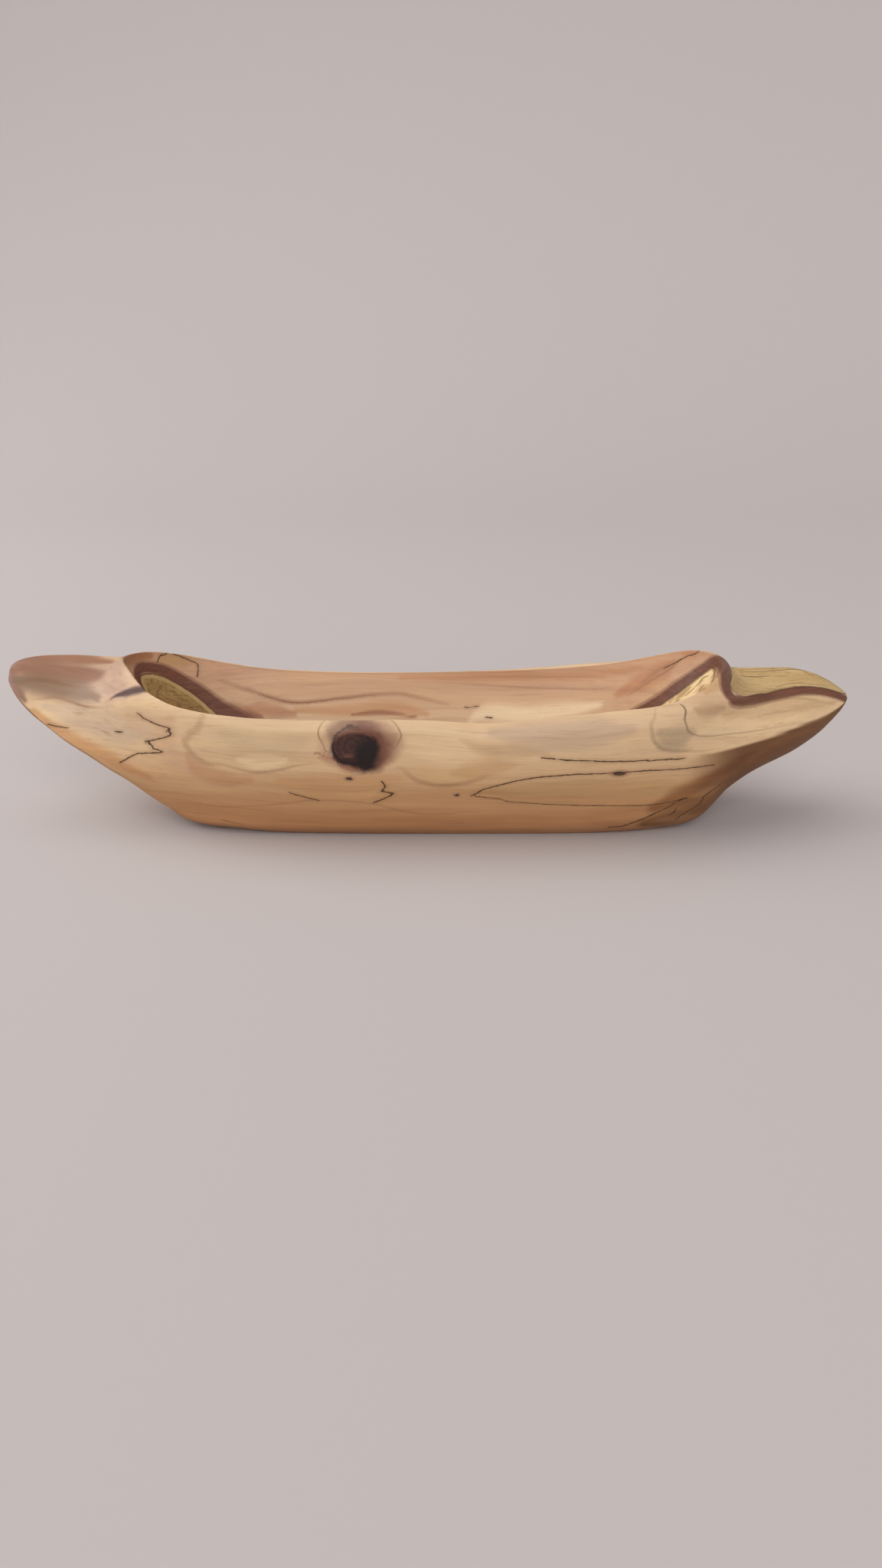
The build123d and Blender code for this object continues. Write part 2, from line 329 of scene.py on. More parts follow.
# Spalting: thin dark lines, each with its half width in mm and its points.
SPALT = (
    (0.36, ((226.5, 4.41), (227.2, 4.37), (227.9, 4.24), (229.8, 4.16), (231.9, 4.06), (233.6, 4.05),
     (233.9, 3.97), (233.1, 3.93), (234.3, 3.87), (233.3, 3.8), (231.2, 3.69), (228.7, 3.59),
     (229.6, 3.55), (230.2, 3.54), (230.1, 3.48), (231.2, 3.48), (232.4, 3.45), (230.6, 3.4),
     (226.6, 3.3), (225.2, 3.21), (222.6, 3.01))),
    (0.32, ((200.9, 3.08), (203.5, 3.2), (207.2, 3.33))),
    (0.4, ((222.2, 3.64), (223.6, 3.67))),
    (0.45, ((263.1, 2.75), (263.4, 2.62), (262.8, 2.5), (264.4, 2.44), (263, 2.3), (261.7, 2.19))),
    (0.4, ((251.4, 2.54), (253, 2.4), (254.6, 2.29))),
    (0.38, ((273.6, 2.38), (274.3, 2.44), (274.6, 2.5), (275.2, 2.55), (278.2, 2.72), (281.2, 2.83),
     (285, 2.88), (293.5, 2.85), (300, 2.77), (304.9, 2.73))),
    (0.28, ((273.9, 2.36), (277.1, 2.3), (277.9, 2.24), (283.5, 2.15), (288.8, 2.1), (296.9, 2.03),
     (301.8, 2.05), (304.9, 2.12))),
    (0.45, ((280.8, 3.36), (282.1, 3.33))),
    (0.42, ((282.9, 3.29), (290, 3.16), (298.3, 3.01))),
    (0.36, ((304.7, 2.1), (302.9, 2), (302.5, 1.87), (300.5, 1.66), (299.4, 1.48), (297, 1.2),
     (295.6, 1.03), (293.1, 1.02))),
    (0.42, ((311.2, 2.27), (310.6, 2.1), (310.3, 2), (312.2, 1.86), (313.2, 1.73), (312.2, 1.5),
     (313.6, 1.22))),
    (0.4, ((305.5, 1.75), (306.8, 1.62), (306.2, 1.5))),
    (0.34, ((141.6, 6.33), (143.5, 6.75), (145.9, 6.87), (147.5, 7.02), (150.3, 7.13))),
    (0.34, ((138.3, 6.27), (135.5, 6.75), (132.2, 7.07), (131.8, 7.12), (133.5, 7.26), (135.4, 7.36))),
    (0.32, ((41.6, 7.27), (38, 7.1), (36.5, 6.95), (32.4, 6.7), (31.6, 6.3))),
    (0.34, ((81.3, 7.86), (80.7, 7.87))),
    (0.34, ((79.8, 7.85), (79, 7.84))),
    (0.34, ((76, 8.06), (74.7, 8.07))),
)
# Growth rings and other soft lines: (degrees, level, half width in mm, strength).
RINGS = (
    # the left lug
    ((178, 4.26, 1, 0.2), (179.7, 4.5, 1.3, 0.6), (184, 4.67, 1.4, 0.7), (189, 4.83, 0.8, 0.2)),
    ((189.7, 3.7, 0.6, 0.4), (190.6, 3.94, 0.8, 0.6), (191.4, 4.19, 0.9, 0.6), (195, 4.36, 0.8, 0.6),
     (199, 4.47, 0.8, 0.5), (203, 4.77, 0.5, 0.2)),
    ((194, 3.4, 0.8, 0.2), (199, 3.8, 1.2, 0.5), (202, 4.03, 1.2, 0.5), (206.4, 4.07, 1.2, 0.6),
     (212, 4.09, 1.3, 0.7), (217, 4.23, 0.8, 0.2)),
    ((208.9, 3.79, 0.9, 0.2), (211, 3.83, 1.2, 0.5), (213, 3.89, 0.8, 0.1)),
    ((217.2, 3.59, 0.5, 0.1), (219.5, 3.56, 0.9, 0.5), (221.4, 3.54, 0.5, 0.1)),
    ((187, 3, 0.7, 0.9), (196, 2.97, 0.8, 1), (203.8, 2.9, 0.8, 1), (213, 2.84, 0.8, 0.9),
     (216.5, 2.7, 0.7, 0.8), (223, 2.5, 0.6, 0.4)),
    # the lobe left of the big knot
    ((240, 5.4, 2.5, 0.35), (239.3, 4.4, 2.6, 0.45), (237.2, 3.87, 2.6, 0.5), (236.6, 3.73, 2.5, 0.55),
     (238.1, 3.5, 2.3, 0.5), (240.5, 3.33, 1.8, 0.4), (243.2, 3.33, 1.2, 0.35), (245.7, 3.24, 1.1, 0.45),
     (248, 3.16, 1.2, 0.6), (251, 3.21, 1.1, 0.55), (253, 3.3, 0.9, 0.5), (255.2, 3.34, 0.6, 0.3)),
    # the lobe right of it, and the long line under both
    ((265.3, 3.13, 1.5, 0.15), (267, 2.77, 1.9, 0.5), (269.4, 2.63, 2, 0.6), (271.6, 2.64, 2, 0.6),
     (273.8, 2.73, 1.8, 0.45), (275.5, 2.87, 1.5, 0.15)),
    ((240, 2.14, 1, 0.2), (245.7, 2.13, 1, 0.35), (250.3, 2.21, 1, 0.4), (254.6, 2.29, 1, 0.4),
     (261.4, 2.16, 1, 0.4), (264.8, 1.93, 1, 0.4), (268, 1.76, 1, 0.4), (271, 1.8, 1, 0.35),
     (274, 1.96, 1, 0.1)),
    ((236.5, 1.46, 0.8, 0.7), (238.8, 1.17, 0.8, 0.6), (241.8, 0.89, 0.6, 0.2)),
    # the broken halo of the big knot
    ((257.3, 5.89, 0.5, 0.5), (256.1, 5.04, 0.6, 0.7), (256.3, 4.3, 0.6, 0.8), (256.8, 3.89, 0.6, 0.8),
     (257, 3.69, 0.6, 0.8), (257.9, 3.57, 0.5, 0.6)),
    ((264.5, 5.94, 0.6, 0.5), (265.2, 5.26, 0.6, 0.7), (265.7, 4.36, 0.6, 0.8), (265.3, 3.84, 0.6, 0.7),
     (264.5, 3.67, 0.5, 0.5), (263.7, 3.54, 0.5, 0.2)),
    ((255.5, 3.47, 0.4, 0.5), (255.7, 3.63, 0.5, 0.9), (256.1, 3.63, 0.5, 0.8), (257.1, 3.49, 0.5, 0.9),
     (258.3, 3.43, 0.4, 0.6)),
    ((258.9, 4.9, 0.4, 0.4), (259.7, 5.45, 0.5, 0.6), (261, 5.45, 0.5, 0.6), (262.3, 5.2, 0.4, 0.3)),
    # the right end
    ((297.5, 5.53, 1, 0.2), (293, 4.5, 1.3, 0.4), (292, 3.89, 1.5, 0.5), (293, 3.54, 1.4, 0.55),
     (294.7, 3.34, 1.2, 0.5), (298.6, 3.2, 1, 0.4), (302, 3.1, 0.9, 0.25), (305.8, 3.06, 0.6, 0.05)),
    ((304.4, 5.59, 0.5, 0.9), (303.5, 5.33, 0.7, 0.9), (301.6, 4.94, 0.9, 0.85), (297.9, 4.33, 1, 0.7),
     (297.3, 3.83, 0.9, 0.65), (299.2, 3.59, 0.8, 0.6), (302, 3.46, 0.7, 0.6), (305.3, 3.39, 0.6, 0.55),
     (311, 3.26, 0.6, 0.45), (316, 3.19, 0.5, 0.35), (322.5, 3.13, 0.5, 0.25), (332, 3.03, 0.4, 0.05)),
    ((317.8, 3.79, 0.6, 0.1), (326, 3.71, 0.8, 0.4), (333.5, 3.57, 0.8, 0.35), (343.6, 3.33, 0.6, 0.15)),
    ((311.8, 3.59, 0.6, 0.1), (319, 3.49, 0.9, 0.35), (330.4, 3.39, 0.8, 0.1)),
    ((306, 4.45, 0.8, 0.15), (312, 4, 1, 0.3), (318, 3.9, 1, 0.3), (326, 3.85, 0.8, 0.15)),
    # the far wall of the hollow
    ((128.4, 7.41, 1.8, 0.4), (121.3, 7.56, 1.8, 0.65), (113, 7.74, 1.8, 0.75), (103.5, 7.64, 1.8, 0.7),
     (95.5, 7.54, 1.7, 0.6), (91.3, 7.63, 1.7, 0.55), (85, 7.8, 1.5, 0.25)),
    ((86, 7.33, 0.6, 0.2), (81.4, 7.39, 0.8, 0.45), (73, 7.49, 0.9, 0.5), (67, 7.53, 0.9, 0.5),
     (58.5, 7.57, 0.8, 0.3), (52, 7.55, 0.6, 0.1)),
    ((87, 7.13, 1, 0.15), (80.6, 7.16, 1, 0.35), (72.9, 7.24, 1, 0.3), (60.4, 7.34, 1, 0.2)),
    ((43.2, 7.67, 0.8, 0.2), (40.8, 7.46, 0.8, 0.5), (37.6, 7.26, 0.7, 0.6), (38.6, 7.07, 0.6, 0.6)),
    ((42.8, 7.61, 1, 0.1), (43.4, 7.39, 1.2, 0.4), (41.6, 7.11, 1, 0.3)),
    # the torn patch inside the right end, and the lens inside the left end
    ((12.9, 7.49, 0.4, 0.9), (11.6, 7.39, 0.5, 1), (11.4, 7.27, 0.5, 1), (11, 7.19, 0.5, 1),
     (7.1, 7.1, 0.4, 0.8)),
    ((19.3, 7.54, 0.4, 0.8), (18.5, 7.46, 0.5, 1), (17.4, 7.36, 0.5, 1), (15.6, 7.27, 0.5, 0.9),
     (13.1, 7.16, 0.4, 0.7)),
    ((7.5, 7.41, 0.3, 0.8), (5.4, 7.3, 0.4, 0.9), (3.5, 7.21, 0.3, 0.7)),
    ((-2.5, 7.13, 0.3, 0.8), (2.9, 7.04, 0.4, 0.9)),
    ((161, 7.56, 0.4, 0.4), (158, 7.62, 0.6, 0.8), (154, 7.69, 0.7, 0.8), (150.8, 7.77, 0.5, 0.5)),
    # the dished top of the right lug
    ((34.6, 4.79, 0.4, 0.8), (24.6, 4.37, 0.45, 0.9), (22.1, 4.11, 0.45, 0.9), (19.1, 4.06, 0.4, 0.9),
     (13.7, 4.14, 0.4, 0.8), (9.8, 4.01, 0.4, 0.8), (3.7, 3.87, 0.4, 0.7)),
    ((26.6, 4.93, 0.5, 0.9), (23, 4.76, 0.8, 0.95), (20.7, 4.57, 0.4, 0.5)),
    ((-15.6, 5.36, 0.4, 0.5), (-9.5, 5.14, 0.5, 0.7), (-6.2, 4.94, 0.3, 0.3)),
    ((-18.3, 5.09, 0.4, 0.6), (-9.5, 4.83, 0.5, 0.75), (5.2, 4.69, 0.5, 0.7), (9.3, 4.54, 0.5, 0.65),
     (8.1, 4.39, 0.5, 0.6), (5.2, 4.21, 0.4, 0.4)),
)
# The ground colour of the wood by height in mm, outside and inside.
GROUND_OUTSIDE = (
    (0, (158, 112, 76)), (8, (174, 124, 84)), (18, (188, 140, 96)), (30, (200, 158, 114)),
    (42, (212, 176, 136)), (56, (216, 184, 146)), (80, (212, 178, 142)),
)
GROUND_INSIDE = (
    (12, (206, 176, 142)), (38, (214, 184, 150)), (48, (204, 168, 134)), (60, (198, 158, 126)),
    (80, (186, 142, 108)),
)
# Soft strokes of colour over the ground, in this order: colour, strength, and points as (degrees,
# level, half width in mm).
STROKES = (
    # the near wall, from left to right
    ((200, 160, 128), 0.6, ((234, 4.6, 6), (233, 3.6, 6), (238, 3.1, 6))),
    ((184, 136, 102), 0.55, ((237, 3.45, 4), (239, 3.2, 5), (243, 2.95, 5), (247, 2.95, 4))),
    ((206, 176, 140), 0.85, ((244, 4.2, 9), (249, 3.6, 9), (254, 4, 9))),
    ((234, 206, 164), 0.7, ((246, 3.45, 3.5), (249, 3.38, 4), (252, 3.45, 3))),
    ((200, 152, 104), 0.5, ((251, 2.9, 6), (258, 2.75, 7), (265, 2.8, 6))),
    ((206, 164, 116), 0.5, ((255.5, 2.62, 4), (260, 2.5, 4), (263, 2.6, 3))),
    ((172, 116, 86), 0.6, ((256.3, 3.52, 1.6), (258, 3.42, 2.2), (260, 3.3, 2))),
    ((224, 192, 150), 0.8, ((267, 3.9, 9), (272, 3.5, 9), (274, 3.9, 8))),
    ((218, 182, 128), 0.6, ((267.5, 3, 5), (271, 2.85, 5), (274.5, 3, 4))),
    ((186, 157, 132), 0.65, ((275.5, 5, 5), (280, 4.4, 8), (285, 4.4, 8), (290, 4.3, 7))),
    ((180, 144, 110), 0.4, ((272, 4.15, 1.5), (273.8, 3.8, 3), (276.7, 3.6, 4), (281, 3.5, 2))),
    ((192, 146, 100), 0.4, ((271.5, 2.9, 5), (274.5, 3, 6), (278, 3.15, 3))),
    ((184, 147, 102), 0.65, ((276, 2.5, 4), (284.5, 2.56, 5.5), (293, 2.47, 6), (302, 2.4, 5))),
    ((160, 138, 110), 0.6, ((293, 3.9, 5), (295, 3.65, 6), (298, 3.7, 6))),
    ((176, 152, 122), 0.4, ((292.5, 3.8, 2.5), (294.5, 3.4, 2.5), (299, 3.25, 2))),
    ((136, 90, 54), 0.8, ((299, 1.9, 7), (303, 2.2, 6), (308, 2.55, 4), (312, 2.8, 3))),
    # Dark brown low on the near right and under the right lug: darker wood with painted shade.
    ((113, 75, 44), 0.9, ((302, 1.2, 8), (318, 1.3, 9), (335, 1.4, 9))),
    # the side of the right lug
    ((202, 168, 128), 0.7, ((306, 3.9, 6), (318, 3.7, 6), (330, 3.5, 5), (344, 3.35, 3))),
    ((178, 148, 114), 0.6, ((304.5, 5, 3), (304, 4.5, 3.5), (307, 4.3, 2.5))),
    # the left lug and its neck
    ((194, 160, 134), 0.8, ((166, 4.6, 10), (185, 4.9, 13), (200, 4.9, 13), (216, 4.7, 10))),
    ((160, 112, 84), 0.9, ((172, 4, 7), (166, 4.3, 7), (162, 4.5, 7), (158, 4.8, 7))),
    ((144, 102, 80), 0.95, ((176, 3.95, 8), (182, 4.35, 9), (186, 4.65, 9), (190, 4.95, 8))),
    ((124, 88, 78), 0.75, ((176, 3.7, 4), (183, 3.5, 4), (189, 3.3, 3.5), (193, 3.2, 2.5))),
    ((140, 112, 90), 0.9, ((188, 3.8, 4), (191, 4, 5), (197, 4.2, 6), (205, 4.45, 6), (212, 4.5, 5))),
    ((196, 169, 143), 0.85, ((200, 3.6, 4), (209, 3.75, 6), (216, 3.75, 8), (224, 3.7, 9), (229, 3.7, 8))),
    ((188, 136, 90), 0.7, ((196, 3.12, 3), (206, 3.12, 3), (214, 3.08, 3.5), (221, 3, 4), (228, 2.8, 4))),
    ((188, 152, 128), 0.85, ((180, 5.4, 7), (199, 5.3, 8), (212, 5.2, 7), (219, 5.1, 5))),
    ((204, 170, 136), 0.6, ((222, 4.6, 6), (228, 4, 7), (230, 3.5, 7))),
    ((66, 42, 42), 0.9, ((216.3, 4.64, 0.8), (215.8, 4.87, 0.9), (217, 5.1, 1.3), (217.9, 5.27, 2),
     (218.4, 5.5, 2.3), (219, 5.8, 2.4), (219.5, 6, 2.4))),
    # the hollow
    ((204, 158, 126), 0.5, ((128, 7, 4), (120, 7.2, 4))),
    ((152, 102, 68), 0.85, ((180, 6.7, 5), (165, 6.8, 4), (153, 6.9, 4))),
    ((144, 96, 64), 0.85, ((190, 7.2, 4), (185, 8, 6))),
    ((180, 140, 96), 0.85, ((141, 6.4, 2.5), (142.5, 6.9, 4.5), (139, 7, 4), (134.5, 7, 3.5),
     (133, 6.6, 2))),
    ((178, 126, 96), 0.7, ((128, 7.85, 4), (122, 7.88, 4), (115, 7.97, 3))),
    ((134, 88, 68), 0.9, ((137, 7.8, 4), (132, 7.92, 4.5), (126, 8, 3))),
    ((196, 146, 104), 0.7, ((114, 7.88, 3), (103, 7.92, 3), (95, 7.85, 3.5), (88, 8, 3))),
    ((146, 96, 70), 0.8, ((103, 8, 0.8), (96.7, 7.96, 1.4), (90, 8.07, 0.8))),
    ((190, 138, 100), 0.65, ((95, 7.1, 3), (80, 7.15, 3), (66, 7.25, 3), (52, 7.2, 4))),
    # A pale cream band on the far inner wall: cream wood with a painted highlight.
    ((236, 212, 178), 0.85, ((79, 8.15, 4), (76, 7.95, 5), (67, 8, 5), (58, 7.9, 5), (49, 7.8, 4))),
    ((180, 126, 94), 0.7, ((47, 7.65, 4), (43, 7.4, 5), (41, 7.15, 5))),
    ((188, 132, 94), 0.65, ((38, 6.9, 4), (33, 6.6, 4))),
    ((198, 156, 112), 0.8, ((345, 6.4, 4), (328, 6.1, 5), (316, 5.8, 4))),
)
# The dark underside of the right lug, browner wood with painted shade, which deepens between these places
# along x.
UNDERSIDE_BROWN_AND_SHADE = (98, 61, 35)
UNDERSIDE_FROM_X, UNDERSIDE_TO_X = 112, 146
# The big knot, as ovals on the near wall: middle along x and z, half length, half height and softness in
# mm, then strength and colour. The fringe lies under the branch core, the bark over it; the bark's darkest
# ovals, at the lower right, are blackened bark with painted shadow.
KNOT_FRINGE = (
    ((-37.5, 53.5, 19.0, 13.5, 5.0), 0.50, (184, 144, 114)),
    ((-33.5, 55.0, 15.0, 11.0, 8.0), 0.55, (146, 102, 82)),
    ((-40.0, 60.5, 11.5, 6.5, 5.0), 0.75, (142, 110, 92)),
    ((-36.0, 52.0, 13.4, 11.6, 6.5), 0.85, (112, 66, 52)),
    ((-39.2, 51.8, 10.8, 8.4, 3.4), 1.0, (48, 27, 23)),
)
# Blackened bark round the knot; the near-black ovals at its right and lower side are also painted shadow
# of the gap there.
KNOT_BARK_AND_SHADOW = (
    ((-39.6, 48.9, 5.2, 1.8, 2.0), 0.6, (112, 72, 62)),
    ((-33.8, 50.0, 6.2, 6.8, 6.5), 0.95, (27, 20, 19)),
    ((-36.0, 45.6, 4.0, 4.8, 4.0), 0.95, (30, 20, 19)),
    ((-43.0, 46.8, 5.0, 1.5, 1.6), 0.8, (46, 26, 24)),
)
# The pin knots: middle along x and z, half length and half height in mm.
PINS = ((83.5, 39.0, 3.0, 1.1), (-42.9, 37.0, 1.6, 0.8), (7.5, 27.0, 1.2, 0.7))


def signed_outline(outline, grid, degrees, levels):
    """Millimetres to a closed outline, positive inside it."""
    loop = np.array(outline, float)
    centre = loop[:, 0].mean()
    turns = np.mod(degrees - centre + 180, 360) - 180 + centre
    x, y = np.meshgrid(turns, levels)
    inside = np.zeros(x.shape, bool)
    fine = []
    for p, q in zip(loop, np.roll(loop, -1, axis=0)):
        crosses = (p[1] > y) != (q[1] > y)
        with np.errstate(divide="ignore", invalid="ignore"):
            meets = (q[0] - p[0]) * (y - p[1]) / (q[1] - p[1]) + p[0]
        inside ^= crosses & (x < meets)
        fine += [p + (q - p) * k / 4 for k in range(4)]
    edge = on_skin(np.array(fine)[:, 0], np.array(fine)[:, 1])
    distance, _, _ = to_polyline(grid, np.vstack([edge, edge[:1]]))
    return np.where(inside, distance, -distance)


def to_polyline(grid, line):
    """Distance to a polyline, the nearest segment, and the share of the way along that segment."""
    points = grid.reshape(-1, 3)
    best = np.full(len(points), 1e9)
    segment, along = np.zeros(len(points), int), np.zeros(len(points))
    for k, (p, q) in enumerate(zip(line[:-1], line[1:])):
        d = q - p
        t = np.clip((points - p) @ d / max(d @ d, 1e-12), 0, 1)
        distance = np.linalg.norm(points - p - t[:, None] * d, axis=1)
        nearer = distance < best - 1e-9
        best[nearer], segment[nearer], along[nearer] = distance[nearer], k, t[nearer]
    shape = grid.shape[:-1]
    return best.reshape(shape), segment.reshape(shape), along.reshape(shape)


def refined(points, times=4):
    """A smooth curve through these points, with times as many of them."""
    points = np.array(points, float)
    padded = np.vstack([2 * points[0] - points[1], points, 2 * points[-1] - points[-2]])
    out = []
    for k in range(1, len(padded) - 2):
        a, b, c, d = padded[k - 1:k + 3]
        for step in range(times):
            t = step / times
            point = 2 * b + (c - a) * t + (2 * a - 5 * b + 4 * c - d) * t**2
            out.append(0.5 * (point + (3 * b - a - 3 * c + d) * t**3))
    out.append(points[-1])
    return np.array(out)


def band(line, grid):
    """Distance to a line over the line's own half width there: under 1 on the band. The line is an
    array of (degrees, level, half width)."""
    distance, segment, along = to_polyline(grid, on_skin(line[:, 0], line[:, 1]))
    widths = line[:, 2]
    return distance / (widths[segment] * (1 - along) + widths[segment + 1] * along)


def signed_lines(lines, grid, normals):
    """Distance to the nearest line over its half width, with a sign for its two sides, the same
    without a sign, and the line's strength there. Points are (degrees, level, half width, strength)."""
    shape = grid.shape[:-1]
    side, plain, strength = np.full(shape, 30.0), np.full(shape, 30.0), np.zeros(shape)
    for line in lines:
        points = on_skin(line[:, 0], line[:, 1])
        distance, segment, along = to_polyline(grid, points)
        width, force = (line[segment, k] * (1 - along) + line[segment + 1, k] * along for k in (2, 3))
        d = (points[1:] - points[:-1])[segment]
        across = np.einsum("...i,...i", np.cross(d, grid - points[segment]), normals)
        ratio = distance / width
        nearer = ratio < plain
        side[nearer] = np.where(across >= 0, ratio, -ratio)[nearer]
        plain[nearer], strength[nearer] = ratio[nearer], force[nearer]
    return side, plain, strength


def ground(heights, stops):
    """The colour at these heights, between stops of (height, colour)."""
    places, colours = zip(*stops)
    return np.stack([np.interp(heights, places, channel) for channel in zip(*colours)], axis=-1)


def painted(grid, level_grid, degrees):
    """The broad colours of the wood at each point of the skin, 0 to 255, with painted shade under the
    right lug and in a few strokes, and a painted highlight in one.
    """
    streaky = waves(grid * np.array([0.22, 1, 1]), wavelength=15, seed=21)
    ragged = waves(grid * np.array([0.3, 1, 1]), wavelength=6, seed=22)
    height = grid[..., 2] + 2.2 * streaky
    inside = smooth(level_grid, RIM_LEVEL + 0.05, RIM_LEVEL + 0.35)[..., None]
    colour = ground(height, GROUND_OUTSIDE) * (1 - inside) + ground(height, GROUND_INSIDE) * inside
    for tint, strength, points in STROKES:
        line = refined(points)
        way = np.linspace(0, 1, len(line))
        taper = 0.45 + 0.55 * smooth(np.minimum(way, 1 - way), 0, 0.3)
        line[:, 2] *= taper
        reach = band(line, grid) + 0.12 * streaky + 0.06 * ragged
        share = strength * smooth(reach, 1.6, 0.25)[..., None]
        colour = colour * (1 - share) + np.array(tint) * share
    # The underside of the right lug below the keel: browner wood with painted shade, deepening towards the
    # tip.
    edge = KEEL_LEVEL + 0.09 * smooth(degrees, 312, 330)
    right_half = np.cos(np.radians(degrees)) > 0
    under = smooth(level_grid, edge, edge - 0.05) * keel_crease(degrees) * right_half
    share = (under * smooth(grid[..., 0], UNDERSIDE_FROM_X, UNDERSIDE_TO_X))[..., None]
    return colour * (1 - share) + np.array(UNDERSIDE_BROWN_AND_SHADE) * share


def build_body():
    """The carved block with its marks and its paint as attributes, still without the knot holes."""
    grid, levels, degrees = body_grid()
    normals = grid_normals(grid)
    level_grid = np.repeat(levels[:, None], COLUMNS, axis=1)
    marks = {
        "lens": signed_outline(LENS, grid, degrees, levels),
        "patch": signed_outline(PATCH, grid, degrees, levels),
        "dish": signed_outline(DISH, grid, degrees, levels),
        "heart": np.minimum(band(refined(HEART_RIGHT), grid), band(refined(HEART_LEFT), grid)),
    }
    thin = [np.array([point + (width, 1.0) for point in points]) for width, points in SPALT]
    soft = [refined(points) for points in RINGS]
    marks["spalt_side"], marks["spalt_far"], _ = signed_lines(thin, grid, normals)
    marks["ring_side"], marks["ring_far"], marks["ring_strength"] = signed_lines(soft, grid, normals)
    paint = painted(grid, level_grid, degrees)

    # Tool waves over the whole skin, calm round the big knot and at the base, and torn fibres.
    carve = 0.22 * waves(grid, wavelength=46, seed=3) + 0.10 * waves(grid, wavelength=17, seed=5)
    across = grid - 0.85 * (grid @ TORN_ALONG)[..., None] * TORN_ALONG
    fibres = np.abs(waves(across, wavelength=3.4, seed=8))
    torn = np.clip(marks["patch"] / 2.5, 0, 1) * fibres * TORN_DEPTH
    knot_x, knot_z = KNOT_HOLES[0][:2]
    knot = np.hypot(grid[..., 0] - knot_x, grid[..., 2] - knot_z)
    calm = np.clip((knot - 12) / 12, 0, 1) + (grid[..., 1] > 0)
    flat = np.clip(grid[..., 2] / 5, 0, 1)
    lift = np.clip(calm, 0, 1) * flat * carve - torn
    sunk = np.full(level_grid.shape, SKIN_DEPTH)
    for x, z, outer, _, squash, _ in KNOT_HOLES:
        reach = np.hypot((grid[..., 0] - x) / outer, (grid[..., 2] - z) / (outer * squash))
        round_knot = smooth(reach, 1 + 3 / outer, 1.1) * (grid[..., 1] < 0)
        sunk = np.maximum(sunk, KNOT_SKIN_DEPTH * round_knot)
    grid = grid + normals * (lift - sunk)[..., None] * np.clip(grid[..., 2:3] / 2, 0, 1)
    grid = np.clip(grid, np.array(cad_box[0]) / MM, np.array(cad_box[1]) / MM)

    rows = len(levels)
    mesh = bpy.data.meshes.new("carved_body")
    number = np.arange(rows * COLUMNS).reshape(rows, COLUMNS)
    following = np.roll(number, -1, axis=1)
    quads = np.stack([number[:-1], following[:-1], following[1:], number[1:]], axis=-1).reshape(-1, 4)
    faces = quads.tolist() + [number[0, ::-1].tolist(), number[-1].tolist()]
    mesh.from_pydata((grid * MM).reshape(-1, 3).tolist(), [], faces)
    for name, values in marks.items():
        attribute = mesh.attributes.new(name, "FLOAT", "POINT")
        attribute.data.foreach_set("value", np.ascontiguousarray(values, np.float32).ravel())
    share = np.clip(paint / 255, 0, 1)
    linear = np.where(share <= 0.04045, share / 12.92, ((share + 0.055) / 1.055) ** 2.4)
    rgba = np.concatenate([linear, np.ones(linear.shape[:-1] + (1,))], axis=-1)
    attribute = mesh.attributes.new("paint", "FLOAT_COLOR", "POINT")
    attribute.data.foreach_set("color", np.ascontiguousarray(rgba, np.float32).ravel())
    mesh.shade_smooth()
    return add_object("carved_body", mesh)


# ---- materials ----
def rgb(r, g, b):
    """A display colour, 0 to 255, as the linear colour that shaders use."""
    def linear(c):
        c /= 255
        return c / 12.92 if c <= 0.04045 else ((c + 0.055) / 1.055) ** 2.4
    return (linear(r), linear(g), linear(b), 1.0)


